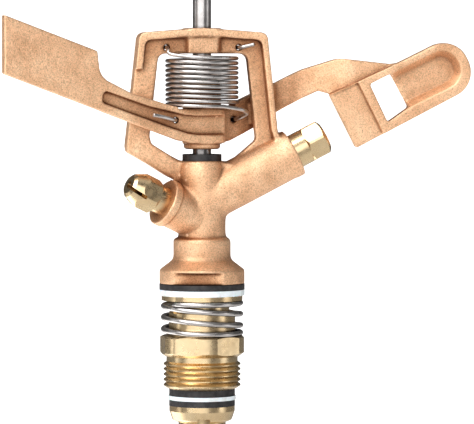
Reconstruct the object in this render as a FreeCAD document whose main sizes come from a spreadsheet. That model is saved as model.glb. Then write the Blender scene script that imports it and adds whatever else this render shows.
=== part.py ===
"""Full-circle impact sprinkler head with a 3/4 inch male inlet, as separate assembled pieces.

Millimetres, +Z up along the spin axis.  The origin is half-way along the inlet thread.
+X is the side that the range nozzle throws to, and the bridge stands in the XZ plane.
"""
import FreeCAD, Part

import math
import os
import re

import Sketcher

Vector = FreeCAD.Vector

# Every driving dimension.  Each alias holds an underscore, which the expressions rely on.
DIMENSIONS = {
    # inlet bearing nipple
    "thread_crest_dia": 26.7,
    "thread_root_dia": 24.7,
    "thread_pitch": 1.814,
    "crest_half_width": 0.16,
    "nipple_bottom": -5.0,
    "nipple_bore": 19.1,
    "nipple_hex_bottom": 6.4,
    "nipple_hex_top": 13.4,
    "nipple_hex_flats": 27.7,
    "nipple_hex_corners": 29.4,
    "nipple_hex_turn": 33.0,
    "nipple_hex_low_chamfer": 1.3,
    "nipple_hex_top_chamfer": 0.5,
    "nipple_lead_chamfer": 0.9,
    "nipple_rim_chamfer": 0.6,
    "nipple_top": 22.0,
    "nipple_tube_dia": 23.0,
    "nipple_lap": 0.1,
    # bearing sleeve
    "sleeve_dia": 18.9,
    "sleeve_bore": 14.5,
    "sleeve_top": 38.2,
    "sleeve_flange_dia": 22.7,
    "sleeve_flange_top": -10.8,
    "sleeve_nose_dia": 16.4,
    "sleeve_bottom": -18.9,
    "sleeve_slot_width": 4.4,
    "sleeve_slot_top": -14.9,
    "sleeve_slot_height": 8.0,
    "sleeve_slot_turn": -94.5,
    # washers and spring of the inlet bearing
    "washer_bore": 19.1,
    "lower_ptfe_bottom": -8.7,
    "lower_ptfe_top": -7.3,
    "lower_pack_top": -5.05,
    "lower_rubber_dia": 22.8,
    "lower_ptfe_dia": 23.4,
    "spring_outer_dia": 28.6,
    "spring_wire": 1.9,
    "spring_turns": 3.6,
    "seat_clearance": 0.05,
    "cap_bottom": 25.7,
    "cap_top": 27.4,
    "cap_dia": 28.0,
    "cap_bore": 23.4,
    "thrust_dia": 29.5,
    "thrust_ptfe_top": 29.4,
    "thrust_rubber_top": 31.35,
    # body casting
    "base_bottom": 31.4,
    "base_top": 36.2,
    "base_flats": 23.6,
    "base_flat_top": 35.6,
    "base_turn": -14.0,
    "wrench_flat_depth": 4.0,
    "base_dia": 29.4,
    "socket_bore": 19.0,
    "collar_bottom": 40.4,
    "collar_top": 46.9,
    "collar_dia": 19.8,
    "neck_dia": 16.4,
    "boss_top": 73.9,
    "boss_dia": 15.6,
    "waterway_dia": 13.0,
    "waterway_top": 57.0,
    "bridge_depth": 10.0,
    "web_depth": 4.4,
    "bridge_boss_dia": 13.1,
    "bridge_boss_depth": 8.6,
    "bridge_bottom": 110.8,
    "bridge_top": 119.6,
    "hook_hole_dia": 2.0,
    "hook_hole_height": 112.9,
    "hook_hole_offset": 12.6,
    # range barrel and nozzle, along the jet
    "jet_height": 59.9,
    "jet_elevation": 27.5,
    "barrel_dia": 16.5,
    "barrel_bore": 10.0,
    "barrel_end": 36.2,
    "barrel_ring_dia": 16.9,
    "barrel_ring_length": 3.0,
    "range_shank": 7.0,
    "range_neck_dia": 12.0,
    "range_hex_start": 41.0,
    "range_hex_flats": 11.8,
    "range_hex_corners": 13.2,
    "range_hex_turn": 23.0,
    "range_hex_chamfer": 0.7,
    "range_tip_chamfer": 1.3,
    "range_tip": 48.4,
    "range_orifice": 4.8,
    "vane_start": 13.0,
    "vane_clearance": 0.05,
    "vane_wall": 0.45,
    "vane_fin": 0.6,
    # spreader boss and nozzle, along the second jet
    "spreader_height": 53.0,
    "spreader_elevation": 25.0,
    "spreader_azimuth": 199.5,
    "spreader_boss_dia": 16.6,
    "spreader_boss_end": 16.6,
    "spreader_stem_dia": 15.0,
    "spreader_ring_length": 2.8,
    "spreader_bore": 8.0,
    "spreader_neck_dia": 9.7,
    "spreader_hex_start": 20.4,
    "spreader_hex_flats": 11.0,
    "spreader_hex_corners": 12.3,
    "spreader_hex_turn": 5.0,
    "spreader_hex_chamfer": 0.6,
    "spreader_hex_end": 26.0,
    "spreader_tip": 31.0,
    "spreader_tip_dia": 6.5,
    "spreader_outlet_dia": 2.6,
    "spreader_shank": 5.0,
    "spreader_slot": 1.2,
    "spreader_slot_depth": 5.6,
    "spreader_slot_turn": 67.0,
    # fulcrum pin and its washer
    "pin_dia": 6.35,
    "pin_bottom": 68.4,
    "pin_top": 130.0,
    "pin_hole": 6.35,
    "pin_washer_dia": 13.5,
    "pin_washer_top": 76.1,
    # arm
    "arm_angle": 13.5,
    "hub_dia": 13.6,
    "hub_bottom": 79.6,
    "hub_top": 91.8,
    "hub_tube_dia": 13.2,
    "hub_tube_top": 100.0,
    "hub_bore": 9.0,
    "hub_front_rise": 0.4,
    "left_front": 6.9,
    "left_back": 2.7,
    "plate_back": 3.5,
    "recess_depth": 1.7,
    "right_front": 1.5,
    "right_back": 5.6,
    "bearing_bore": 6.45,
    "bearing_flange_dia": 12.6,
    "bearing_flange_bottom": 77.9,
    "bearing_length": 6.0,
    "bearing_flange_round": 1.0,
    "bearing_flange_top": 101.2,
    "arm_washer_top": 101.9,
    "arm_washer_dia": 11.0,
    "spoon_front": -3.0,
    "spoon_thickness": 4.6,
    "bowl_depth": 3.3,
    "vane_step": 1.0,
    "through_depth": 60.0,
    "arm_hook_height": 88.0,
    "arm_hook_left": -11.5,
    "arm_hook_right": 12.5,
    "pad_start": 17.5,
    "pad_length": 9.0,
    "pad_width": 3.6,
    "pad_bottom": 86.4,
    "pad_height": 7.0,
    "pad_gap": 0.15,
    "bowl_draft": 36.0,
    # arm spring
    "coil_outer_dia": 25.4,
    "coil_wire": 1.35,
    "coil_bottom": 92.0,
    "coil_top": 110.3,
    "coil_pitch": 1.69,
    "coil_clearance": 0.4,
}

THREAD_CRESTS = 5
SLEEVE_SLOTS = 3

doc = FreeCAD.newDocument("impact_sprinkler")
sheet = doc.addObject("Spreadsheet::Sheet", "Dims")
for row, (alias, number) in enumerate(DIMENSIONS.items(), start=1):
    sheet.set(f"A{row}", alias)
    sheet.set(f"B{row}", str(number))
    sheet.setAlias(f"B{row}", alias)
doc.recompute()


def linked(text):
    """An expression with the sheet's name put before each alias."""
    return re.sub(r"\b([a-z]+_\w+)\b", r"Dims.\1", text)


def value(item):
    """The number that a plain number or an expression stands for."""
    if isinstance(item, str):
        return float(sheet.evalExpression(linked(item)))
    return float(item)


def bind(thing, **properties):
    """Bind properties of an object to expressions in the sheet's aliases."""
    for prop, text in properties.items():
        thing.setExpression(prop, linked(text))
    return thing


def dimension(sketch, kind, geometry, point, item):
    """Place one point of a sketch from its origin by a driving dimension."""
    index = sketch.addConstraint(Sketcher.Constraint(kind, -1, 1, geometry, point, value(item)))
    if isinstance(item, str):
        sketch.setExpression(f"Constraints[{index}]", linked(item))


def round_corner(before, corner, after, radius):
    """The tangent points, the centre and the turning sense of a rounded corner."""
    to_before = (before - corner).normalize()
    to_after = (after - corner).normalize()
    half_angle = to_before.getAngle(to_after) / 2
    reach = radius / math.tan(half_angle)
    centre = corner + (to_before + to_after).normalize() * (radius / math.sin(half_angle))
    turns_left = to_after.cross(to_before).z > 0
    return corner + to_before * reach, corner + to_after * reach, centre, turns_left


def corner_arc(entry, leave, centre, turns_left):
    """The arc of a rounded corner, counter-clockwise as a sketch keeps it."""
    first, last = (entry, leave) if turns_left else (leave, entry)
    circle = Part.Circle(centre, Vector(0, 0, 1), (entry - centre).Length)
    angles = [math.atan2(end.y - centre.y, end.x - centre.x) for end in (first, last)]
    return Part.ArcOfCircle(circle, *angles)


def draw(sketch, outline):
    """Draw a closed outline: (x, y) is a sharp corner and (x, y, radius) a rounded one."""
    corners = [Vector(value(point[0]), value(point[1]), 0) for point in outline]
    count = len(outline)
    entries, exits, rounds = list(corners), list(corners), {}
    for i, point in enumerate(outline):
        if len(point) == 3:
            entries[i], exits[i], *rounds[i] = round_corner(
                corners[i - 1], corners[i], corners[(i + 1) % count], value(point[2])
            )
    for i in range(count):
        sketch.addGeometry(Part.LineSegment(exits[i], entries[(i + 1) % count]), False)
    for i, point in enumerate(outline):
        line_in, line_out = (i - 1) % count, i
        if i not in rounds:
            sketch.addConstraint(Sketcher.Constraint("Coincident", line_in, 2, line_out, 1))
            dimension(sketch, "DistanceX", line_out, 1, point[0])
            dimension(sketch, "DistanceY", line_out, 1, point[1])
            continue
        centre, turns_left = rounds[i]
        arc = sketch.addGeometry(corner_arc(entries[i], exits[i], centre, turns_left), False)
        first = 1 if turns_left else 2
        sketch.addConstraint(Sketcher.Constraint("Tangent", line_in, 2, arc, first))
        sketch.addConstraint(Sketcher.Constraint("Tangent", line_out, 1, arc, 3 - first))
        radius = sketch.addConstraint(Sketcher.Constraint("Radius", arc, value(point[2])))
        if isinstance(point[2], str):
            sketch.setExpression(f"Constraints[{radius}]", linked(point[2]))
        vertex = sketch.addGeometry(Part.Point(corners[i]), True)
        sketch.addConstraint(Sketcher.Constraint("PointOnObject", vertex, 1, line_in))
        sketch.addConstraint(Sketcher.Constraint("PointOnObject", vertex, 1, line_out))
        dimension(sketch, "DistanceX", vertex, 1, point[0])
        dimension(sketch, "DistanceY", vertex, 1, point[1])


def origin_plane(body, role):
    """One of a body's own origin planes."""
    return next(plane for plane in body.Origin.OriginFeatures if plane.Role == role)


def turned(name, outline):
    """A turned piece: an outline of (radius, height) points revolved about the vertical axis."""
    body = doc.addObject("PartDesign::Body", name)
    profile = body.newObject("Sketcher::SketchObject", name + "_profile")
    profile.AttachmentSupport = (origin_plane(body, "XZ_Plane"), [""])
    profile.MapMode = "FlatFace"
    draw(profile, outline)
    turning = body.newObject("PartDesign::Revolution", name + "_turning")
    turning.Profile = profile
    turning.ReferenceAxis = (profile, ["V_Axis"])
    turning.Angle = 360
    return body


def ring(name, bore, outer, bottom, top):
    """A flat washer, from its bore and outer diameter and its two heights."""
    inner_radius, outer_radius = f"{bore}/2", f"{outer}/2"
    return turned(
        name,
        [(inner_radius, bottom), (outer_radius, bottom), (outer_radius, top), (inner_radius, top)],
    )


def extruded(name, outline, depth, centre=0):
    """A prism of an outline in (x, z), its depth across the XZ plane centred at y = centre."""
    profile = doc.addObject("Sketcher::SketchObject", name + "_outline")
    profile.Placement = FreeCAD.Placement(
        Vector(0, value(centre), 0), FreeCAD.Rotation(Vector(1, 0, 0), 90)
    )
    draw(profile, outline)
    prism = doc.addObject("Part::Extrusion", name)
    prism.Base = profile
    prism.DirMode = "Normal"
    prism.Solid = True
    prism.Symmetric = True
    return bind(prism, LengthFwd=depth)


def between(name, outline, front, back):
    """A prism of an outline in (x, z) between two distances across the XZ plane."""
    return extruded(name, outline, f"({back}) - ({front})", f"(({back}) + ({front}))/2")


def drafted(name, outline, front, depth, draft):
    """A hollow's prism that runs back from a front face and narrows as it goes."""
    profile = doc.addObject("Sketcher::SketchObject", name + "_outline")
    profile.Placement = FreeCAD.Placement(
        Vector(0, value(front), 0), FreeCAD.Rotation(Vector(1, 0, 0), 90)
    )
    draw(profile, outline)
    prism = doc.addObject("Part::Extrusion", name)
    prism.Base = profile
    prism.DirMode = "Normal"
    prism.Solid = True
    prism.Reversed = True
    return bind(prism, LengthFwd=depth, TaperAngle=f"-{draft}")


def plan_prism(name, outline, bottom, height):
    """A prism of an outline in (x, y) that stands on a height."""
    profile = doc.addObject("Sketcher::SketchObject", name + "_outline")
    profile.Placement.Base = Vector(0, 0, value(bottom))
    draw(profile, outline)
    prism = doc.addObject("Part::Extrusion", name)
    prism.Base = profile
    prism.DirMode = "Normal"
    prism.Solid = True
    return bind(prism, LengthFwd=height)


def cylinder(name, diameter, bottom, top, placement=None):
    """A round bar between two heights on its own axis."""
    bar = doc.addObject("Part::Cylinder", name)
    bind(bar, Radius=f"({diameter})/2", Height=f"({top}) - ({bottom})")
    place = placement or FreeCAD.Placement()
    bar.Placement = place * FreeCAD.Placement(Vector(0, 0, value(bottom)), FreeCAD.Rotation())
    return bar


def hexagon(name, flats, bottom, top, turn):
    """A hexagonal bar, from its size across the flats and its turn about its own axis."""
    bar = doc.addObject("Part::Prism", name)
    bar.Polygon = 6
    bind(bar, Circumradius=f"{flats}/sqrt(3)", Height=f"({top}) - ({bottom})")
    bar.Placement = FreeCAD.Placement(
        Vector(0, 0, value(bottom)), FreeCAD.Rotation(Vector(0, 0, 1), value(turn))
    )
    return bar


def box(name, length, width, height, turn, corner):
    """A block whose low corner is set in axes that are turned about Z."""
    block = doc.addObject("Part::Box", name)
    bind(block, Length=length, Width=width, Height=height)
    turned_axes = FreeCAD.Placement(Vector(0, 0, 0), FreeCAD.Rotation(Vector(0, 0, 1), turn))
    low = Vector(*[value(item) for item in corner])
    block.Placement = turned_axes * FreeCAD.Placement(low, FreeCAD.Rotation())
    return block


def fuse(name, *pieces):
    """One solid out of several that meet."""
    union = doc.addObject("Part::MultiFuse", name)
    union.Shapes = list(pieces)
    union.Refine = True
    return union


def cut(name, base, tool):
    """A solid with another taken out of it."""
    difference = doc.addObject("Part::Cut", name)
    difference.Base = base
    difference.Tool = tool
    return difference


def common(name, first, second):
    """What two solids share."""
    shared = doc.addObject("Part::Common", name)
    shared.Base = first
    shared.Tool = second
    return shared


def along_jet(height, elevation, azimuth=0.0):
    """The place whose own Z axis leaves the spin axis at a height along a jet."""
    turn = FreeCAD.Rotation(Vector(0, 0, 1), azimuth)
    tilt = FreeCAD.Rotation(Vector(0, 1, 0), 90 - elevation)
    return FreeCAD.Placement(Vector(0, 0, height), turn * tilt)


def coil(name, outer, wire, bottom, top, turns):
    """A left-handed coil spring, its wire's centre line between two heights."""
    helix = doc.addObject("Part::Helix", name + "_helix")
    helix.LocalCoord = "Left-handed"
    bind(
        helix,
        Radius=f"({outer} - {wire})/2",
        Height=f"({top}) - ({bottom})",
        Pitch=f"(({top}) - ({bottom}))/({turns})",
    )
    section = doc.addObject("Part::Circle", name + "_section")
    bind(section, Radius=f"{wire}/2")
    section.Placement = FreeCAD.Placement(
        Vector(value(f"({outer} - {wire})/2"), 0, 0), FreeCAD.Rotation(Vector(1, 0, 0), 90)
    )
    helix.SegmentLength = 1
    sweep = doc.addObject("Part::Sweep", name)
    sweep.Sections = [section]
    doc.recompute()
    sweep.Spine = (helix, [f"Edge{n + 1}" for n in range(len(helix.Shape.Edges))])
    sweep.Solid = True
    sweep.Frenet = True
    sweep.Placement.Base = Vector(0, 0, value(bottom))
    return sweep


def make_nipple():
    """Inlet nipple: pipe thread, wrench hexagon and the tube that guides the bearing spring."""
    outline = [
        ("nipple_bore/2", "nipple_bottom"),
        ("thread_root_dia/2 - nipple_lead_chamfer", "nipple_bottom"),
    ]
    first = -(THREAD_CRESTS - 1) / 2
    root = "thread_root_dia/2"
    outline.append((root, f"{first - 0.5}*thread_pitch"))
    for n in range(THREAD_CRESTS):
        middle = f"{first + n}*thread_pitch"
        outline.append(("thread_crest_dia/2", f"{middle} - crest_half_width"))
        outline.append(("thread_crest_dia/2", f"{middle} + crest_half_width"))
        outline.append((root, f"{first + n + 0.5}*thread_pitch"))
    outline += [
        (root, "nipple_hex_bottom + nipple_lap"),
        ("nipple_tube_dia/2", "nipple_hex_top - nipple_lap"),
        ("nipple_tube_dia/2", "nipple_top - nipple_rim_chamfer"),
        ("nipple_tube_dia/2 - nipple_rim_chamfer", "nipple_top"),
        ("nipple_bore/2", "nipple_top"),
    ]
    barrel = turned("nipple_barrel", outline)
    chamfer = turned(
        "nipple_hex_turning",
        [
            ("nipple_bore/2", "nipple_hex_bottom"),
            ("nipple_hex_flats/2 - nipple_lead_chamfer", "nipple_hex_bottom"),
            ("nipple_hex_corners/2", "nipple_hex_bottom + nipple_hex_low_chamfer"),
            ("nipple_hex_corners/2", "nipple_hex_top - nipple_hex_top_chamfer"),
            ("nipple_hex_flats/2", "nipple_hex_top"),
            ("nipple_bore/2", "nipple_hex_top"),
        ],
    )
    bar = hexagon(
        "nipple_hex_bar",
        "nipple_hex_flats",
        "nipple_hex_bottom",
        "nipple_hex_top",
        "nipple_hex_turn",
    )
    nut = common("nipple_hex", bar, chamfer)
    return fuse("bearing_nipple", barrel, nut)


def make_sleeve():
    """Bearing sleeve: runs in the nipple, holds the lower washers and screws into the body."""
    turning = turned(
        "sleeve_turning",
        [
            ("sleeve_bore/2", "sleeve_bottom"),
            ("sleeve_nose_dia/2", "sleeve_bottom"),
            ("sleeve_nose_dia/2", "sleeve_slot_top - 1.7"),
            ("sleeve_flange_dia/2 - 1.05", "sleeve_slot_top - 0.8", 0.8),
            ("sleeve_flange_dia/2", "sleeve_flange_top - 1.8"),
            ("sleeve_flange_dia/2", "sleeve_flange_top"),
            ("sleeve_dia/2", "sleeve_flange_top"),
            ("sleeve_dia/2", "sleeve_top"),
            ("sleeve_bore/2", "sleeve_top"),
        ],
    )
    slots = [
        box(
            f"sleeve_slot_{n}",
            "sleeve_flange_dia",
            "sleeve_slot_width",
            "sleeve_slot_height",
            value("sleeve_slot_turn") + 360 / SLEEVE_SLOTS * n,
            (0, "-sleeve_slot_width/2", "sleeve_slot_top - sleeve_slot_height"),
        )
        for n in range(SLEEVE_SLOTS)
    ]
    return cut("bearing_sleeve", turning, fuse("sleeve_slots", *slots))


# The bridge's outer and inner edges, in (x, z).
BRIDGE_OUTER = [
    (-26.6, 77.6, 2.0),
    (-22.2, 118.0, 2.6),
    (0, 119.7),
    (22.2, 118.0, 2.6),
    (25.8, 84.4),
    (28.4, 77.2),
    (22.0, 72.0),
    (3.0, 64.0),
    (-4.0, 64.5),
    (-12.4, 68.6),
]
BRIDGE_WINDOW = [
    (-18.7, 80.4, 2.4),
    (-15.3, "bridge_bottom", 2.6),
    (15.3, "bridge_bottom", 2.6),
    (18.6, 81.0, 2.0),
    (8.5, 72.4),
    (-7.6, 73.4),
]
RIM_INNER = [
    (-24.4, 79.5, 2.0),
    (-21.1, 105.4, 1.2),
    (-20.2, 115.4, 2.2),
    (0, 116.9),
    (20.2, 115.4, 2.2),
    (23.5, 84.4),
    (25.9, 77.0),
    (16.0, 70.0),
    (9.0, 73.2),
    (-9.0, 73.2),
]
LEFT_LEG = [
    (-26.5, 79.0),
    (-23.6, 105.0),
    (-21.2, 105.4),
    (-16.1, 104.4),
    (-18.4, 82.3),
    (-17.6, 79.2, 1.4),
    (-7.6, 73.8),
    (-2.0, 72.0),
    (-3.0, 64.8),
    (-12.4, 69.0),
    (-26.2, 76.9, 1.2),
]


# Where the rim is left off the front of the left leg, so that the arm can pass.
LEG_RELIEF = [
    (-28.0, 62.0),
    (-28.0, 105.4),
    (-2.0, 105.4),
    (-2.0, 62.0),
]


def make_body():
    """Body casting: socket, collar, jet barrels and the bridge that carries the fulcrum pin."""
    jet = along_jet(value("jet_height"), value("jet_elevation"))
    second = along_jet(
        value("spreader_height"), value("spreader_elevation"), value("spreader_azimuth")
    )
    shell = turned(
        "body_stem",
        [
            (0, "base_bottom"),
            ("base_dia/2", "base_bottom"),
            ("base_dia/2", "base_top", 0.8),
            ("collar_dia/2 + 0.5", "collar_bottom - 0.9"),
            ("collar_dia/2", "collar_bottom + 0.4"),
            ("collar_dia/2", "collar_top", 0.9),
            ("neck_dia/2", "collar_top + 0.5"),
            ("neck_dia/2", "spreader_height + 6"),
            ("boss_dia/2 + 0.6", "boss_top - 5"),
            ("boss_dia/2", "boss_top", 0.8),
            (0, "boss_top"),
        ],
    )
    barrel = cylinder("range_barrel", "barrel_dia", "0", "barrel_end", jet)
    barrel_ring = cylinder(
        "barrel_ring", "barrel_ring_dia", "barrel_end - barrel_ring_length", "barrel_end", jet
    )
    spreader = cylinder("spreader_stem", "spreader_stem_dia", "0", "spreader_boss_end", second)
    spreader_ring = cylinder(
        "spreader_ring",
        "spreader_boss_dia",
        "spreader_boss_end - spreader_ring_length",
        "spreader_boss_end",
        second,
    )
    knuckle = doc.addObject("Part::Sphere", "branch_knuckle")
    bind(knuckle, Radius="barrel_dia/2 + 0.3")
    knuckle.Placement.Base = Vector(0, 0, value("jet_height - 3"))
    web = cut(
        "bridge_web",
        extruded("web_plate", BRIDGE_OUTER, "web_depth"),
        extruded("web_window", BRIDGE_WINDOW, "2*web_depth"),
    )
    relief = between("leg_relief", LEG_RELIEF, "-bridge_depth", "-web_depth/2")
    rim = cut(
        "bridge_rim",
        extruded("rim_plate", BRIDGE_OUTER, "bridge_depth"),
        fuse("rim_cuts", extruded("rim_window", RIM_INNER, "2*bridge_depth"), relief),
    )
    left_leg = between("left_leg", LEFT_LEG, "-web_depth/2", "bridge_depth/2")
    pin_boss = common(
        "pin_boss",
        cylinder("pin_boss_bar", "bridge_boss_dia", "bridge_bottom", "bridge_top"),
        box(
            "pin_boss_flats",
            "bridge_boss_dia",
            "bridge_boss_depth",
            "bridge_top - bridge_bottom",
            0,
            ("-bridge_boss_dia/2", "-bridge_boss_depth/2", "bridge_bottom"),
        ),
    )
    solid = fuse(
        "body_solid",
        shell,
        barrel,
        barrel_ring,
        spreader,
        spreader_ring,
        knuckle,
        web,
        rim,
        left_leg,
        pin_boss,
    )

    holes = [
        box(
            f"wrench_flat_{side}",
            "base_dia + 2",
            "wrench_flat_depth",
            "base_flat_top - base_bottom + 1",
            value("base_turn") + half_turn,
            ("-base_dia/2 - 1", "-base_flats/2 - wrench_flat_depth", "base_bottom - 1"),
        )
        for side, half_turn in (("front", 0), ("back", 180))
    ]
    holes += [
        cylinder("sleeve_socket", "socket_bore", "base_bottom - 1", "sleeve_top"),
        cylinder("main_waterway", "waterway_dia", "sleeve_top - 1", "waterway_top"),
        cylinder("range_bore", "barrel_bore", "0", "barrel_end + 1", jet),
        cylinder("spreader_waterway", "spreader_bore", "0", "spreader_boss_end + 1", second),
        cylinder("pin_hole_body", "pin_hole", "pin_bottom", "boss_top + 1"),
        cylinder("pin_hole_bridge", "pin_hole", "bridge_bottom - 1", "bridge_top + 2"),
    ]
    for side, x in (("left", -value("hook_hole_offset")), ("right", value("hook_hole_offset"))):
        across = FreeCAD.Placement(
            Vector(x, 0, value("hook_hole_height")), FreeCAD.Rotation(Vector(1, 0, 0), 90)
        )
        holes.append(cylinder(f"hook_hole_{side}", "hook_hole_dia", "-web_depth", "web_depth", across))
    return cut("body_casting", solid, fuse("body_holes", *holes))


def make_pin():
    """Fulcrum pin that the arm swings on."""
    return turned(
        "fulcrum_pin",
        [
            (0, "pin_bottom"),
            ("pin_dia/2", "pin_bottom"),
            ("pin_dia/2", "pin_top - 0.4"),
            ("pin_dia/2 - 0.4", "pin_top"),
            (0, "pin_top"),
        ],
    )


def make_range_nozzle():
    """Hexagon range nozzle, modelled along Z and then laid along the jet."""
    turning = turned(
        "range_turning",
        [
            ("range_orifice/2", "barrel_end - 1"),
            ("barrel_bore/2 - 1.0", "barrel_end - range_shank"),
            ("barrel_bore/2", "barrel_end - range_shank"),
            ("barrel_bore/2", "barrel_end"),
            ("range_neck_dia/2", "barrel_end"),
            ("range_neck_dia/2", "range_hex_start"),
            ("range_hex_corners/2 - range_hex_chamfer", "range_hex_start"),
            ("range_hex_corners/2", "range_hex_start + range_hex_chamfer"),
            ("range_hex_corners/2", "range_tip - range_tip_chamfer"),
            ("range_hex_flats/2 - 1.0", "range_tip"),
            ("range_orifice/2 + 0.4", "range_tip"),
            ("range_orifice/2", "range_tip - 0.4"),
        ],
    )
    bar = hexagon(
        "range_hex_bar", "range_hex_flats", "range_hex_start", "range_tip + 1", "range_hex_turn"
    )
    shank = cylinder(
        "range_shank_space", "2*range_neck_dia", "barrel_end - range_shank - 1", "range_hex_start"
    )
    nozzle = common("range_nozzle", turning, fuse("range_envelope", bar, shank))
    nozzle.Placement = along_jet(value("jet_height"), value("jet_elevation"))
    return nozzle


def make_stream_vane():
    """Flow straightener in the range barrel: a tube with crossed fins."""
    outer, inner = "barrel_bore/2 - vane_clearance", "barrel_bore/2 - vane_clearance - vane_wall"
    end = "barrel_end - range_shank - 1"
    tube = turned(
        "vane_tube", [(inner, "vane_start"), (outer, "vane_start"), (outer, end), (inner, end)]
    )
    fins = [
        box(
            f"vane_fin_{n}",
            f"2*({inner}) + vane_wall",
            "vane_fin",
            f"{end} - vane_start",
            45 + 90 * n,
            (f"-({inner}) - vane_wall/2", "-vane_fin/2", "vane_start"),
        )
        for n in range(2)
    ]
    vane = fuse("stream_vane", tube, *fins)
    vane.Placement = along_jet(value("jet_height"), value("jet_elevation"))
    return vane


def make_spreader_nozzle():
    """Domed spreader nozzle with its spray slot, laid along the second jet."""
    turning = turned(
        "spreader_turning",
        [
            ("spreader_outlet_dia/2", "spreader_boss_end - spreader_shank"),
            ("spreader_bore/2", "spreader_boss_end - spreader_shank"),
            ("spreader_bore/2", "spreader_boss_end"),
            ("spreader_neck_dia/2", "spreader_boss_end"),
            ("spreader_neck_dia/2", "spreader_hex_start"),
            ("spreader_hex_corners/2 - spreader_hex_chamfer", "spreader_hex_start"),
            ("spreader_hex_corners/2", "spreader_hex_start + spreader_hex_chamfer"),
            ("spreader_hex_corners/2", "spreader_hex_end"),
            ("spreader_tip_dia/2 + 1", "spreader_tip - 0.8"),
            ("spreader_tip_dia/2", "spreader_tip"),
            ("spreader_outlet_dia/2", "spreader_tip"),
        ],
    )
    bar = hexagon(
        "spreader_hex_bar",
        "spreader_hex_flats",
        "spreader_hex_start",
        "spreader_tip + 1",
        "spreader_hex_turn",
    )
    shank = cylinder(
        "spreader_shank_space",
        "2*spreader_neck_dia",
        "spreader_boss_end - spreader_shank - 1",
        "spreader_hex_start",
    )
    blank = common("spreader_blank", turning, fuse("spreader_envelope", bar, shank))
    slot = box(
        "spreader_spray_slot",
        "spreader_hex_corners",
        "spreader_slot",
        "spreader_slot_depth + 1",
        value("spreader_slot_turn"),
        (0, "-spreader_slot/2", "spreader_tip - spreader_slot_depth"),
    )
    nozzle = cut("spreader_nozzle", blank, slot)
    nozzle.Placement = along_jet(
        value("spreader_height"), value("spreader_elevation"), value("spreader_azimuth")
    )
    return nozzle


# Side outline of the arm's weighted half, in (distance along the arm, z).
WEIGHT_OUTLINE = [
    (1.0, 79.7),
    (-5.0, 80.0),
    (-10.6, 81.0),
    (-20.7, 84.6),
    (-73.9, 104.1),
    (-73.9, 123.9),
    (-40.6, 111.7, 1.0),
    (-39.6, 102.9, 6.0),
    (-28.4, 97.4),
    (-14.1, 93.1),
    (-6.0, 91.6),
    (1.0, 91.6),
]
WEIGHT_RECESS = [
    (8.0, 82.9),
    (-4.0, 82.9),
    (-7.6, 83.4),
    (-12.3, 84.9),
    (-29.0, 90.6),
    (-39.0, 94.2, 1.3),
    (-38.4, 98.4, 1.3),
    (-21.6, 92.7),
    (-8.6, 89.8),
    (-4.0, 89.5),
    (8.0, 89.5),
]
# Side outline of what is planed off behind the paddle.
PADDLE_THINNING = [
    (-80.0, 90.0),
    (-80.0, 130.0),
    (-41.5, 130.0),
    (-38.5, 90.0),
]
# Plan of the hub's front, along the arm and across it.
HUB_FRONT = [
    (-7.0, "-left_front"),
    (6.9, "-left_front", 3.0),
    (6.9, 0.5),
    (-7.0, 0.5),
]
# Side outline of the driven half's plate, from the hub to its bend.
PLATE_OUTLINE = [
    (0, 79.8),
    (8.0, 79.8),
    (11.2, 80.6),
    (19.8, 84.9),
    (28.0, 89.8),
    (28.0, 100.6),
    (18.1, 96.0),
    (8.6, 91.8),
    (0, 91.6),
]
# Side outline of the curved neck, in (x, z).
NECK_OUTLINE = [
    (24.4, 88.6),
    (36.0, 95.2),
    (41.4, 97.9, 1.6),
    (46.4, 96.4, 1.0),
    (66.0, 104.0),
    (71.0, 108.0),
    (66.0, 107.2, 5.0),
    (48.0, 109.2, 9.0),
    (36.3, 105.3),
    (24.4, 99.4),
]
# Side outline of the flat vane and spoon.
SPOON_OUTLINE = [
    (44.4, 96.6, 0.6),
    (53.9, 78.0, 0.6),
    (63.3, 82.9),
    (97.2, 100.4, 9.0),
    (88.7, 117.5, 9.0),
    (70.0, 108.3),
]
SPOON_WINDOW = [
    (58.4, 100.2, 0.8),
    (66.0, 103.9, 0.8),
    (72.3, 92.2, 0.8),
    (64.8, 86.9, 1.0),
]
SPOON_BOWL = [
    (61.7, 101.8),
    (86.6, 114.1, 6.4),
    (93.0, 101.9, 6.4),
    (70.4, 90.9),
    (67.9, 89.1),
]
VANE_FRONT = [
    (40.0, 94.4),
    (54.2, 100.9),
    (63.2, 83.0),
    (62.6, 80.0),
    (53.0, 76.0),
]
# Plan of the neck, from the striking pad to the back of the spoon, in (x, y).
NECK_PLAN = [
    (24.0, 8.9),
    (31.0, 8.7, 8.0),
    (40.0, 3.7, 16.0),
    (50.0, "spoon_front + 1.6", 14.0),
    (74.0, "spoon_front + 1.6"),
    (74.0, "spoon_front + spoon_thickness"),
    (54.0, "spoon_front + spoon_thickness", 8.0),
    (42.0, 7.4, 16.0),
    (32.6, 12.0, 8.0),
    (24.0, 11.2),
]


def arm_hole(side, tilt):
    """The hole for the spring's end in one half of the arm."""
    place = FreeCAD.Placement(
        Vector(value(f"arm_hook_{side}"), 0, value("arm_hook_height")),
        FreeCAD.Rotation(Vector(1, 0, 0), tilt),
    )
    return cylinder(f"arm_hole_{side}", "hook_hole_dia", "0", "hub_dia", place)


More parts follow.
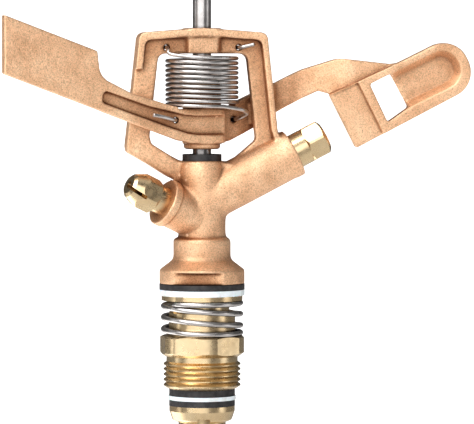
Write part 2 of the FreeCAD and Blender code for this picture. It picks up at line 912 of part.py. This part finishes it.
def make_arm():
    """Arm casting: hub, counterweight half, driven half with its vane, window and spoon."""
    turn = FreeCAD.Placement(
        Vector(0, 0, 0), FreeCAD.Rotation(Vector(0, 0, 1), value("arm_angle"))
    )
    weight = between("weight_half", WEIGHT_OUTLINE, "-left_front", "-left_back")
    thinning = between("weight_thinning", PADDLE_THINNING, "-plate_back", "0")
    recess = between(
        "weight_recess", WEIGHT_RECESS, "-left_front - 1", "-left_front + recess_depth"
    )
    front = plan_prism(
        "hub_front", HUB_FRONT, "hub_bottom + hub_front_rise", "hub_top - hub_bottom - hub_front_rise"
    )
    barrel = cylinder("hub_barrel", "hub_dia", "hub_bottom", "hub_top")
    heavy = fuse("weight_solid", weight, front, barrel)
    left = cut("weight_casting", heavy, fuse("weight_cuts", thinning, recess, arm_hole("left", 90)))
    plate = between("driven_plate", PLATE_OUTLINE, "right_front", "right_back")
    right = cut("driven_casting", plate, arm_hole("right", -90))
    straight = fuse("arm_straight", left, right)
    straight.Placement = turn

    neck = common(
        "neck",
        plan_prism("neck_strip", NECK_PLAN, "boss_top", "pin_top - boss_top"),
        extruded("neck_side", NECK_OUTLINE, "through_depth"),
    )
    slab = between(
        "spoon_slab", SPOON_OUTLINE, "spoon_front", "spoon_front + spoon_thickness"
    )
    window = extruded("spoon_window", SPOON_WINDOW, "through_depth")
    bowl = drafted("spoon_bowl", SPOON_BOWL, "spoon_front", "bowl_depth", "bowl_draft")
    step = between("vane_front", VANE_FRONT, "spoon_front - 1", "spoon_front + vane_step")
    spoon = cut("spoon", fuse("spoon_blank", slab, neck), fuse("spoon_cuts", window, bowl, step))

    pad = box(
        "striking_pad",
        "pad_length",
        "pad_width",
        "pad_height",
        0,
        ("pad_start", "bridge_depth/2 + pad_gap", "pad_bottom"),
    )
    tube = cylinder("hub_tube", "hub_tube_dia", "hub_top - 1", "hub_tube_top")
    solid = fuse("arm_solid", straight, spoon, pad, tube)
    bore = cylinder("arm_hub_bore", "hub_bore", "hub_bottom - 1", "hub_tube_top + 1")
    seat = cut(
        "arm_spring_seat",
        cylinder("seat_disc", "coil_outer_dia + 2*coil_clearance", "hub_top", "coil_top"),
        cylinder("seat_core", "hub_tube_dia", "hub_top - 1", "coil_top + 1"),
    )
    return cut("arm_casting", solid, fuse("arm_cuts", bore, seat))


def make_arm_bearings():
    """Flanged bushes pressed into the two ends of the arm's hub."""
    lower = turned(
        "arm_bearing_lower",
        [
            ("bearing_bore/2", "bearing_flange_bottom"),
            ("bearing_flange_dia/2", "bearing_flange_bottom", "bearing_flange_round"),
            ("bearing_flange_dia/2", "hub_bottom"),
            ("hub_bore/2", "hub_bottom"),
            ("hub_bore/2", "hub_bottom + bearing_length"),
            ("bearing_bore/2", "hub_bottom + bearing_length"),
        ],
    )
    upper = turned(
        "arm_bearing_upper",
        [
            ("bearing_bore/2", "hub_tube_top - bearing_length"),
            ("hub_bore/2", "hub_tube_top - bearing_length"),
            ("hub_bore/2", "hub_tube_top"),
            ("bearing_flange_dia/2", "hub_tube_top"),
            ("bearing_flange_dia/2", "bearing_flange_top"),
            ("bearing_bore/2", "bearing_flange_top"),
        ],
    )
    return [lower, upper]


parts = [
    make_nipple(),
    coil(
        "bearing_spring",
        "spring_outer_dia",
        "spring_wire",
        "nipple_hex_top + spring_wire/2 + seat_clearance",
        "cap_bottom - spring_wire/2 - seat_clearance",
        "spring_turns",
    ),
    ring("spring_cap", "cap_bore", "cap_dia", "cap_bottom", "cap_top"),
    ring("thrust_washer_ptfe", "washer_bore", "thrust_dia", "cap_top", "thrust_ptfe_top"),
    ring("thrust_washer_rubber", "washer_bore", "thrust_dia", "thrust_ptfe_top", "thrust_rubber_top"),
    make_sleeve(),
    ring(
        "lower_washer_rubber_lower",
        "sleeve_dia",
        "lower_rubber_dia",
        "sleeve_flange_top",
        "lower_ptfe_bottom",
    ),
    ring("lower_washer_ptfe", "sleeve_dia", "lower_ptfe_dia", "lower_ptfe_bottom", "lower_ptfe_top"),
    ring(
        "lower_washer_rubber_upper",
        "sleeve_dia",
        "lower_rubber_dia",
        "lower_ptfe_top",
        "lower_pack_top",
    ),
    make_body(),
    make_pin(),
    ring("pin_washer_rubber", "pin_dia", "pin_washer_dia", "boss_top", "pin_washer_top"),
    make_range_nozzle(),
    make_stream_vane(),
    make_spreader_nozzle(),
    make_arm(),
    *make_arm_bearings(),
    ring(
        "arm_washer_upper", "bearing_bore", "arm_washer_dia", "bearing_flange_top", "arm_washer_top"
    ),
    coil(
        "arm_spring",
        "coil_outer_dia",
        "coil_wire",
        "coil_bottom + coil_wire/2",
        "coil_top - coil_wire/2",
        "(coil_top - coil_bottom - coil_wire)/coil_pitch",
    ),
]
for part in parts:
    part.Label = part.Name
doc.recompute()

failed = [thing.Name for thing in doc.Objects if {"Invalid", "Error"} & set(thing.State)]
if failed:
    raise RuntimeError(f"did not recompute: {failed}")
for part in parts:
    if part.Shape.isNull() or not part.Shape.isValid():
        raise RuntimeError(f"{part.Name} has no valid shape")

os.makedirs("parts", exist_ok=True)
for part in parts:
    solids = part.Shape.Solids
    print(f"{part.Name}: {len(solids)} solid, {part.Shape.Volume:.0f} mm3")
    part.Shape.exportStep(f"parts/{part.Label}.step")
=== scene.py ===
"""Looks for the impact sprinkler head: materials, cast surfaces, wound springs, studio and camera."""

import math

import bpy
from mathutils import Matrix, Vector


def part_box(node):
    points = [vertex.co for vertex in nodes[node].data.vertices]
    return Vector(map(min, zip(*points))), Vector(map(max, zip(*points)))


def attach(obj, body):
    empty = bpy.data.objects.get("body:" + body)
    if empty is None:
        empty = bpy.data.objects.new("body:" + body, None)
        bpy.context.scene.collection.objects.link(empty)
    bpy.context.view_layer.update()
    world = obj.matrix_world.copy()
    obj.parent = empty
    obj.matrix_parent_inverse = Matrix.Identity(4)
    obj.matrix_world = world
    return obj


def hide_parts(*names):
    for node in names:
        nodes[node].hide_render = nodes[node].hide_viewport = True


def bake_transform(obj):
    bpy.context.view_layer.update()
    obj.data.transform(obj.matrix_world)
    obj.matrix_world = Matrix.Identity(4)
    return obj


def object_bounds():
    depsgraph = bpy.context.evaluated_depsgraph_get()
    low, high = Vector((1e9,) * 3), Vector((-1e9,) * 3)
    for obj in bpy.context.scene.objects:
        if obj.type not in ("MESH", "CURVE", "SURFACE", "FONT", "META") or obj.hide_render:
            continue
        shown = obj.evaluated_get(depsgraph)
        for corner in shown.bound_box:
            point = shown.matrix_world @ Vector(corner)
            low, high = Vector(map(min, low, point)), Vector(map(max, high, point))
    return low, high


MM = 0.001
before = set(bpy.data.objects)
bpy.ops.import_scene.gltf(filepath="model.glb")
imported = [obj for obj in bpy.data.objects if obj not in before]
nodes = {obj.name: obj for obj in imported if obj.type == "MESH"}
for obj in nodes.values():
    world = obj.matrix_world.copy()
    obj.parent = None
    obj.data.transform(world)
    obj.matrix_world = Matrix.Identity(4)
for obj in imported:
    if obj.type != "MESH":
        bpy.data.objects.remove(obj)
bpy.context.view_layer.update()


# ---------------------------------------------------------------- node helpers

class Shader:
    """A node material under construction, with short calls for the nodes that it uses."""

    def __init__(self, name):
        self.material = bpy.data.materials.new(name)
        self.material.use_nodes = True
        self.tree = self.material.node_tree
        self.principled = self.tree.nodes["Principled BSDF"]
        self.place = self.add("ShaderNodeTexCoord").outputs["Object"]

    def add(self, kind, **settings):
        node = self.tree.nodes.new(kind)
        for key, setting in settings.items():
            setattr(node, key, setting)
        return node

    def link(self, source, target):
        self.tree.links.new(source, target)

    def set(self, **values):
        for key, number in values.items():
            self.principled.inputs[key.replace("_", " ")].default_value = number

    def scaled(self, size, stretch=(1, 1, 1), turn=(0, 0, 0)):
        """Object coordinates divided by a size in metres."""
        mapping = self.add("ShaderNodeMapping")
        mapping.inputs["Rotation"].default_value = turn
        mapping.inputs["Scale"].default_value = [s / size for s in stretch]
        self.link(self.place, mapping.inputs["Vector"])
        return mapping.outputs["Vector"]

    def noise(self, size, detail=3.0, roughness=0.55, stretch=(1, 1, 1), turn=(0, 0, 0)):
        """Grey noise whose features are about a size in metres across."""
        noise = self.add("ShaderNodeTexNoise")
        noise.inputs["Scale"].default_value = 1.0
        noise.inputs["Detail"].default_value = detail
        noise.inputs["Roughness"].default_value = roughness
        self.link(self.scaled(size, stretch, turn), noise.inputs["Vector"])
        return noise.outputs["Fac"]

    def spots(self, size):
        """Distance from the nearest of many scattered points, about a size apart."""
        cells = self.add("ShaderNodeTexVoronoi")
        cells.inputs["Scale"].default_value = 1.0
        self.link(self.scaled(size), cells.inputs["Vector"])
        return cells.outputs["Distance"]

    def ramp(self, source, stops):
        """Colours or grey levels along a 0 to 1 value."""
        ramp = self.add("ShaderNodeValToRGB")
        while len(ramp.color_ramp.elements) < len(stops):
            ramp.color_ramp.elements.new(0.5)
        for element, (where, colour) in zip(ramp.color_ramp.elements, stops):
            element.position = where
            element.color = (*colour, 1) if isinstance(colour, tuple) else (colour,) * 3 + (1,)
        self.link(source, ramp.inputs["Fac"])
        return ramp.outputs["Color"]

    def mix(self, factor, first, second, blend="MIX"):
        """Mix two colours; each argument is a socket or a constant."""
        mix = self.add("ShaderNodeMix", data_type="RGBA", blend_type=blend)
        for socket, item in zip((mix.inputs[0], mix.inputs[6], mix.inputs[7]), (factor, first, second)):
            if isinstance(item, (float, int)):
                socket.default_value = item
            elif isinstance(item, tuple):
                socket.default_value = (*item, 1)
            else:
                self.link(item, socket)
        return mix.outputs[2]

    def math(self, operation, first, second=0.0):
        node = self.add("ShaderNodeMath", operation=operation)
        for socket, item in zip(node.inputs, (first, second)):
            if isinstance(item, (float, int)):
                socket.default_value = item
            else:
                self.link(item, socket)
        return node.outputs[0]

    def bump(self, height, distance, strength=1.0, below=None):
        """A normal from a height, on top of another bump if one is given."""
        bump = self.add("ShaderNodeBump")
        bump.inputs["Strength"].default_value = strength
        bump.inputs["Distance"].default_value = distance
        self.link(height, bump.inputs["Height"])
        if below is not None:
            self.link(below, bump.inputs["Normal"])
        return bump.outputs["Normal"]

    def finish(self, colour=None, roughness=None, normal=None):
        for socket, source in (("Base Color", colour), ("Roughness", roughness), ("Normal", normal)):
            if source is not None:
                self.link(source, self.principled.inputs[socket])
        return self.material


# ------------------------------------------------------------------- materials

def cast_bronze():
    """Sand-cast bronze: blotches, dark grains, painted brown shade in hollows and recesses, painted
    highlights on edges and a pitted skin.
    """
    s = Shader("cast_bronze")
    blotch = s.ramp(
        s.noise(8 * MM, detail=4),
        [(0.30, (0.74, 0.44, 0.26)), (0.52, (0.87, 0.55, 0.34)), (0.72, (0.96, 0.65, 0.42))],
    )
    grain = s.ramp(s.noise(0.48 * MM, detail=4, roughness=0.8), [(0.35, 0.42), (0.57, 1.12)])
    colour = s.mix(0.68, blotch, grain, "MULTIPLY")
    specks = s.ramp(s.spots(1.3 * MM), [(0.06, 0.45), (0.20, 1.0)])
    colour = s.mix(0.7, colour, specks, "MULTIPLY")
    pointiness = s.add("ShaderNodeNewGeometry").outputs["Pointiness"]
    # Painted shade: concave creases and hollows are darkened to brown by pointiness.
    painted_hollow_shade = s.ramp(pointiness, [(0.455, (0.20, 0.11, 0.07)), (0.495, (1.0, 1.0, 1.0))])
    colour = s.mix(0.9, colour, painted_hollow_shade, "MULTIPLY")
    # Painted shade: ambient occlusion darkens recesses, channels and places between parts towards
    # brown.
    shade = s.add("ShaderNodeAmbientOcclusion", samples=6)
    shade.inputs["Distance"].default_value = 7 * MM
    painted_crease_shade = s.ramp(
        shade.outputs["AO"],
        [(0.25, (0.22, 0.12, 0.07)), (0.70, (0.60, 0.47, 0.38)), (0.95, (1.0, 1.0, 1.0))],
    )
    colour = s.mix(1.0, colour, painted_crease_shade, "MULTIPLY")
    # Painted highlight: convex edges are lightened towards a pale bronze by pointiness.
    painted_edge_highlight = s.ramp(pointiness, [(0.515, 0.0), (0.60, 1.0)])
    colour = s.mix(s.math("MULTIPLY", painted_edge_highlight, 0.5), colour, (0.97, 0.74, 0.53))
    roughness = s.ramp(s.noise(0.9 * MM, detail=3), [(0.3, 0.32), (0.7, 0.50)])
    skin = s.bump(s.noise(0.34 * MM, detail=5, roughness=0.7), 0.14 * MM, 1.0)
    skin = s.bump(s.noise(2.2 * MM, detail=2), 0.20 * MM, 0.7, skin)
    s.set(Metallic=0.72)
    return s.finish(colour, roughness, skin)


def machined_brass(name, turn=(0, 0, 0)):
    """Turned brass: fine tool rings about its own axis, slight tarnish and small scuffs."""
    s = Shader(name)
    tone = s.ramp(s.noise(7 * MM, detail=3), [(0.3, (0.77, 0.58, 0.35)), (0.7, (0.87, 0.69, 0.44))])
    film = s.ramp(s.noise(1.4 * MM, detail=5, roughness=0.7), [(0.35, 0.80), (0.6, 1.0)])
    colour = s.mix(0.4, tone, film, "MULTIPLY")
    rings = s.noise(0.20 * MM, detail=2, stretch=(0.02, 0.02, 1), turn=turn)
    roughness = s.ramp(s.noise(2.2 * MM, detail=4), [(0.3, 0.22), (0.7, 0.36)])
    normal = s.bump(rings, 0.010 * MM, 0.7)
    normal = s.bump(s.noise(1.6 * MM, detail=3), 0.012 * MM, 0.5, normal)
    s.set(Metallic=1.0)
    return s.finish(colour, roughness, normal)


def steel(name, dark, light, smooth, rough, grain_stretch):
    """Stainless steel: drawn or ground, with fine marks, a faint stain and painted shade in the gaps.
    """
    s = Shader(name)
    colour = s.ramp(s.noise(4 * MM, detail=4), [(0.3, dark), (0.7, light)])
    # Painted shade: ambient occlusion darkens the gaps between coils and between parts to near black.
    shade = s.add("ShaderNodeAmbientOcclusion", samples=6)
    shade.inputs["Distance"].default_value = 2.0 * MM
    painted_gap_shade = s.ramp(shade.outputs["AO"], [(0.40, (0.10, 0.09, 0.09)), (0.80, (1.0, 1.0, 1.0))])
    colour = s.mix(0.9, colour, painted_gap_shade, "MULTIPLY")
    marks = s.noise(0.16 * MM, detail=3, stretch=grain_stretch)
    roughness = s.ramp(s.noise(0.9 * MM, detail=4), [(0.3, smooth), (0.7, rough)])
    s.set(Metallic=1.0)
    return s.finish(colour, roughness, s.bump(marks, 0.0012 * MM, 0.6))


def black_rubber():
    """Moulded rubber: nearly black, slightly dusty, with a soft sheen."""
    s = Shader("black_rubber")
    colour = s.ramp(
        s.noise(1.8 * MM, detail=5, roughness=0.7),
        [(0.35, (0.016, 0.015, 0.016)), (0.7, (0.050, 0.046, 0.045))],
    )
    roughness = s.ramp(s.noise(0.7 * MM, detail=3), [(0.3, 0.36), (0.7, 0.55)])
    return s.finish(colour, roughness, s.bump(s.noise(0.25 * MM, detail=4), 0.03 * MM, 0.8))


def white_ptfe(name="white_ptfe", pale=(0.64, 0.69, 0.72), stained=(0.54, 0.57, 0.57)):
    """Turned PTFE or moulded plastic: waxy white with faint stains and tool marks."""
    s = Shader(name)
    colour = s.ramp(s.noise(3.0 * MM, detail=5), [(0.32, stained), (0.55, pale)])
    roughness = s.ramp(s.noise(1.0 * MM, detail=3), [(0.3, 0.30), (0.7, 0.46)])
    rings = s.noise(0.22 * MM, detail=2, stretch=(0.03, 0.03, 1))
    s.set(Subsurface_Weight=0.12, Subsurface_Scale=1.0 * MM)
    return s.finish(colour, roughness, s.bump(rings, 0.02 * MM, 0.7))


def studio_white():
    """The pale floor and sweep."""
    s = Shader("studio_white")
    tint = s.ramp(s.noise(0.5, detail=2), [(0.3, (0.50, 0.50, 0.50)), (0.7, (0.52, 0.52, 0.52))])
    s.set(Roughness=0.85, Emission_Color=(1, 1, 1, 1), Emission_Strength=0.92)
    return s.finish(tint)


# The nozzles' axes, in degrees: how far each leans from upright, and the spreader's azimuth.
JET_LEAN = 62.5
SPREADER_LEAN = 65.0
SPREADER_AZIMUTH = 199.5
JET_TURN = (0, -math.radians(JET_LEAN), 0)
SPREADER_TURN = (0, -math.radians(SPREADER_LEAN), -math.radians(SPREADER_AZIMUTH))

bronze = cast_bronze()
brass = machined_brass("machined_brass")
range_brass = machined_brass("range_brass", JET_TURN)
spreader_brass = machined_brass("spreader_brass", SPREADER_TURN)
pin_steel = steel("pin_steel", (0.46, 0.44, 0.43), (0.62, 0.60, 0.59), 0.26, 0.36, (1, 1, 0.03))
wire_steel = steel("wire_steel", (0.54, 0.51, 0.49), (0.74, 0.71, 0.69), 0.26, 0.36, (1, 1, 1))
rubber = black_rubber()
ptfe = white_ptfe()
moulding = white_ptfe("vane_moulding", (0.74, 0.75, 0.74), (0.58, 0.58, 0.54))


def coat(thing, material):
    """Give an object one material."""
    thing.data.materials.clear()
    thing.data.materials.append(material)


NODE_LOOKS = {
    "bearing_nipple": brass,
    "bearing_sleeve": brass,
    "spring_cap": brass,
    "thrust_washer_ptfe": ptfe,
    "thrust_washer_rubber": rubber,
    "lower_washer_rubber_lower": rubber,
    "lower_washer_ptfe": ptfe,
    "lower_washer_rubber_upper": rubber,
    "fulcrum_pin": pin_steel,
    "pin_washer_rubber": rubber,
    "range_nozzle": range_brass,
    "stream_vane": moulding,
    "spreader_nozzle": spreader_brass,
    "arm_bearing_lower": bronze,
    "arm_bearing_upper": bronze,
    "arm_washer_upper": ptfe,
}
for node_name, look in NODE_LOOKS.items():
    coat(nodes[node_name], look)


# -------------------------------------------------------------- cast surfaces

def soften(piece, spots):
    """Wash out the creases of a dense mesh near some places: (centre, radius, rounds) in mm."""
    for n, (centre, radius, rounds) in enumerate(spots):
        group = piece.vertex_groups.new(name=f"soft_{n}")
        middle, reach = Vector(centre) * MM, radius * MM
        for vertex in piece.data.vertices:
            distance = (vertex.co - middle).length
            if distance < reach:
                group.add([vertex.index], min(1.0, 2.0 * (1 - distance / reach)), "REPLACE")
        smooth = piece.modifiers.new(f"soft_{n}", "SMOOTH")
        smooth.factor = 0.5
        smooth.iterations = rounds
        smooth.vertex_group = group.name


def settled(piece):
    """The mesh that an object's modifiers give."""
    bpy.context.view_layer.update()
    shaped = bpy.data.meshes.new_from_object(
        piece.evaluated_get(bpy.context.evaluated_depsgraph_get())
    )
    piece.modifiers.clear()
    piece.data = shaped


def cast_surface(node_name, body, voxel, rounds, spots):
    """A casting with its moulded look: the CAD solid remeshed so that its edges round over."""
    source = nodes[node_name]
    piece = bpy.data.objects.new(node_name + "_skin", source.data.copy())
    bpy.context.scene.collection.objects.link(piece)
    remesh = piece.modifiers.new("remesh", "REMESH")
    remesh.mode = "VOXEL"
    remesh.voxel_size = voxel
    smooth = piece.modifiers.new("smooth", "SMOOTH")
    smooth.factor = 0.5
    smooth.iterations = rounds
    settled(piece)
    soften(piece, spots)
    settled(piece)
    piece.vertex_groups.clear()
    piece.data.polygons.foreach_set("use_smooth", [True] * len(piece.data.polygons))
    coat(piece, bronze)
    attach(piece, body)
    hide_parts(node_name)


# Places where the moulding is worn soft, in mm: (centre, radius, rounds of smoothing).
BODY_SPOTS = [
    ((9, 0, 54), 9, 60),
    ((6, 0, 72), 7, 40),
    ((-8, 0, 71), 7, 30),
    ((-5, -5, 62), 6, 30),
    ((0, -8, 62), 8, 40),
    ((25, 0, 80), 8, 30),
    ((0, 8, 60), 10, 40),
]
RIGHT_LEG_CHANNEL = [((21.5, -3, height), 4.5, 8) for height in range(86, 114, 4)]
PIN_BOSS_SIDES = [((side, -4, 117), 4, 25) for side in (-6.5, 6.5)]
ARM_SPOTS = [
    ((80, -2, 106), 12, 8),
    ((72, -2, 99), 9, 14),
    ((27, 8, 96), 7, 20),
    ((8, 4, 86), 7, 30),
    ((5, -6, 86), 7, 12),
]
cast_surface("body_casting", "head", 0.38 * MM, 5, BODY_SPOTS + RIGHT_LEG_CHANNEL + PIN_BOSS_SIDES)
cast_surface("arm_casting", "arm", 0.36 * MM, 4, ARM_SPOTS)


# ------------------------------------------------------------------- springs

def tube(name, path, radius, material, sides=14):
    """A round wire along a path of points, with closed ends."""
    rings, faces = [], []
    direction = (path[1] - path[0]).normalized()
    side = direction.orthogonal().normalized()
    for i, point in enumerate(path):
        ahead = path[min(i + 1, len(path) - 1)] - path[max(i - 1, 0)]
        turn = direction.rotation_difference(ahead.normalized())
        direction, side = ahead.normalized(), (turn @ side).normalized()
        other = direction.cross(side)
        for k in range(sides):
            angle = 2 * math.pi * k / sides
            rings.append(point + radius * (math.cos(angle) * side + math.sin(angle) * other))
    for i in range(len(path) - 1):
        for k in range(sides):
            a, b = i * sides + k, i * sides + (k + 1) % sides
            faces.append((a, b, b + sides, a + sides))
    faces.append(tuple(reversed(range(sides))))
    faces.append(tuple(range(len(rings) - sides, len(rings))))
    mesh = bpy.data.meshes.new(name)
    mesh.from_pydata(rings, [], faces)
    mesh.polygons.foreach_set("use_smooth", [True] * len(mesh.polygons))
    piece = bpy.data.objects.new(name, mesh)
    bpy.context.scene.collection.objects.link(piece)
    coat(piece, material)
    return piece


def smooth_path(points, steps=10):
    """A smooth curve through given points."""
    path = []
    for i in range(len(points) - 1):
        p0, p1 = points[max(i - 1, 0)], points[i]
        p2, p3 = points[i + 1], points[min(i + 2, len(points) - 1)]
        for k in range(steps):
            t = k / steps
            path.append(
                0.5 * (2 * p1 + (p2 - p0) * t + (2 * p0 - 5 * p1 + 4 * p2 - p3) * t * t
                       + (3 * p1 - p0 - 3 * p2 + p3) * t ** 3)
            )
    return path + [points[-1]]


def coil_point(radius, angle, height):
    return Vector((radius * math.cos(angle), radius * math.sin(angle), height))


def make_bearing_spring():
    """Compression spring, left-handed, with flat closed ends and coils that lean a little."""
    low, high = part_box("bearing_spring")
    wire = 0.95 * MM
    radius = (high.x - low.x) / 2 - wire
    bottom, top = low.z + wire, high.z - wire
    turns, closed, lean = 3.68, 0.53, 0.42 * MM
    lower_end = math.radians(95.5)
    left_side = math.radians(171.5)
    steps, blur = 48, 5

    def climb(turn):
        """How far up an unblurred coil is after some turns: 0 on the bottom, 1 at the top."""
        return min(1.0, max(0.0, (turn - closed) / (turns - 2 * closed)))

    path = []
    for i in range(int(turns * steps) + 1):
        share = sum(climb((i + k) / steps) for k in range(-blur, blur + 1)) / (2 * blur + 1)
        angle = lower_end - 2 * math.pi * i / steps
        tilt = lean * math.cos(angle - left_side) * min(1.0, 8 * share * (1 - share))
        path.append(coil_point(radius, angle, bottom + (top - bottom) * share + tilt))
    spring = tube("bearing_spring_wound", path, wire, wire_steel)
    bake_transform(spring)
    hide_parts("bearing_spring")


def make_arm_spring():
    """Arm spring: a close coil whose ends hook through the bridge and through the arm (tails in mm)."""
    low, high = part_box("arm_spring")
    wire = 0.675 * MM
    radius = (high.x - low.x) / 2 - wire
    bottom, top = low.z + wire, high.z - wire
    turns, steps = 10.15, 44
    start, sweep = math.radians(300), 2 * math.pi * turns
    count = int(turns * steps)
    coil = [
        coil_point(radius, start - sweep * i / count, bottom + (top - bottom) * i / count)
        for i in range(count + 1)
    ]
    lower_tail = [
        (-18.6, -13.6, 89.9),
        (-15.2, -12.3, 89.2),
        (-11.2, -9.9, 88.2),
        (-9.9, -6.6, 88.0),
        (-8.6, -2.5, 88.0),
        (0.0, 8.3, 88.2),
        (8.2, 8.5, 88.0),
        (11.6, 5.9, 88.0),
        (12.6, 3.0, 88.2),
        (14.6, -0.6, 89.4),
        (15.0, -4.6, 90.4),
        (12.4, -8.6, 91.6),
    ]
    upper_tail = [
        (-11.6, -6.8, 110.6),
        (-12.4, -5.2, 112.0),
        (-12.6, -2.6, 112.9),
        (-12.4, 1.6, 112.9),
        (-8.0, 5.6, 112.6),
        (0.0, 8.0, 112.4),
        (8.0, 5.6, 112.6),
        (12.4, 1.6, 112.9),
        (12.7, -2.8, 112.9),
        (14.0, -4.6, 113.2),
        (17.4, -5.6, 114.0),
    ]
    lower = smooth_path([Vector(point) * MM for point in lower_tail] + [coil[0]])
    upper = smooth_path([coil[-1]] + [Vector(point) * MM for point in upper_tail])
    spring = tube("arm_spring_wound", lower[:-1] + coil + upper[1:], wire, wire_steel)
    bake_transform(spring)
    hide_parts("arm_spring")


make_bearing_spring()
make_arm_spring()


# ------------------------------------------------------------ studio and camera

def make_sweep():
    """Floor that curves up into a backdrop well behind the object."""
    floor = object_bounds()[0][2]
    front, back, curve, top, side = -8.0, 5.0, 1.5, 8.0, 10.0
    profile = [(front, 0.0), (back, 0.0)]
    profile += [
        (back + curve * math.sin(a), curve - curve * math.cos(a))
        for a in (math.pi / 2 * k / 16 for k in range(1, 17))
    ]
    profile.append((back + curve, top))
    points = [(x, y, floor + z) for y, z in profile for x in (-side, side)]
    faces = [(2 * i, 2 * i + 1, 2 * i + 3, 2 * i + 2) for i in range(len(profile) - 1)]
    mesh = bpy.data.meshes.new("studio_sweep")
    mesh.from_pydata(points, [], faces)
    mesh.polygons.foreach_set("use_smooth", [True] * len(mesh.polygons))
    sweep = bpy.data.objects.new("studio_sweep", mesh)
    bpy.context.scene.collection.objects.link(sweep)
    coat(sweep, studio_white())
    sweep.visible_glossy = False
    sweep.visible_shadow = False


def add_softbox(name, azimuth, elevation, distance, size, power):
    """An area light that faces the middle of the object."""
    aim = Vector((0, 0, 0.06))
    a, e = math.radians(azimuth), math.radians(elevation)
    away = Vector((math.sin(a) * math.cos(e), -math.cos(a) * math.cos(e), math.sin(e)))
    data = bpy.data.lights.new(name, "AREA")
    data.shape = "RECTANGLE"
    data.size, data.size_y = size
    data.energy = power
    lamp = bpy.data.objects.new(name, data)
    lamp.location = aim + away * distance
    lamp.rotation_euler = (-away).to_track_quat("-Z", "Y").to_euler()
    bpy.context.scene.collection.objects.link(lamp)


def make_world():
    """Soft white surroundings: bright below, as over a white floor, and dim at eye level."""
    world = bpy.data.worlds.new("studio")
    world.use_nodes = True
    tree = world.node_tree
    place = tree.nodes.new("ShaderNodeTexCoord")
    axes = tree.nodes.new("ShaderNodeSeparateXYZ")
    tree.links.new(place.outputs["Generated"], axes.inputs["Vector"])
    height = tree.nodes.new("ShaderNodeMapRange")
    height.inputs["From Min"].default_value = -1.0
    tree.links.new(axes.outputs["Z"], height.inputs["Value"])
    ramp = tree.nodes.new("ShaderNodeValToRGB")
    # Brightness from straight down, 0, through eye level, 0.5, to straight up, 1.
    levels = [(0.15, 0.72), (0.44, 0.26), (0.53, 0.06), (0.80, 0.14)]
    while len(ramp.color_ramp.elements) < len(levels):
        ramp.color_ramp.elements.new(0.5)
    for element, (where, level) in zip(ramp.color_ramp.elements, levels):
        element.position = where
        element.color = (level, level, level, 1)
    tree.links.new(height.outputs["Result"], ramp.inputs["Fac"])
    background = tree.nodes["Background"]
    tree.links.new(ramp.outputs["Color"], background.inputs["Color"])
    bpy.context.scene.world = world


def make_camera():
    """Long-lens camera, a little above the object and turned to the bridge's left (in mm)."""
    azimuth, aside, distance, eye_height, aim_height = 8.5, 12.1, 1300.0, 113.1, 56.1
    turn = Matrix.Rotation(-math.radians(azimuth), 3, "Z")
    place = turn @ Vector((aside, -distance, eye_height)) * MM
    aim = turn @ Vector((aside, 0.0, aim_height)) * MM
    data = bpy.data.cameras.new("camera")
    data.sensor_width = 36
    data.lens = 286
    data.clip_start = 0.05
    data.clip_end = 20
    camera = bpy.data.objects.new("camera", data)
    camera.location = place
    camera.rotation_euler = (aim - place).to_track_quat("-Z", "Y").to_euler()
    bpy.context.scene.collection.objects.link(camera)
    bpy.context.scene.camera = camera


# Name, azimuth, elevation, distance, size and power of each lamp.
SOFTBOXES = [
    ("front", -24, 12, 1.7, (2.8, 1.2), 18.0),
    ("key", -52, 46, 1.1, (0.8, 0.8), 8.0),
    ("right", 67, -3, 1.3, (0.5, 0.9), 1.4),
    ("low_left", -130, -42, 1.2, (1.2, 1.0), 6.0),
    ("left_strip", -96, 6, 1.3, (0.2, 1.0), 0.9),
    ("top", 10, 80, 1.0, (0.9, 0.9), 1.0),
]

make_sweep()
make_world()
for softbox in SOFTBOXES:
    add_softbox(*softbox)
make_camera()
bpy.context.scene.view_settings.view_transform = "Standard"
bpy.context.scene.view_settings.look = "Medium High Contrast"
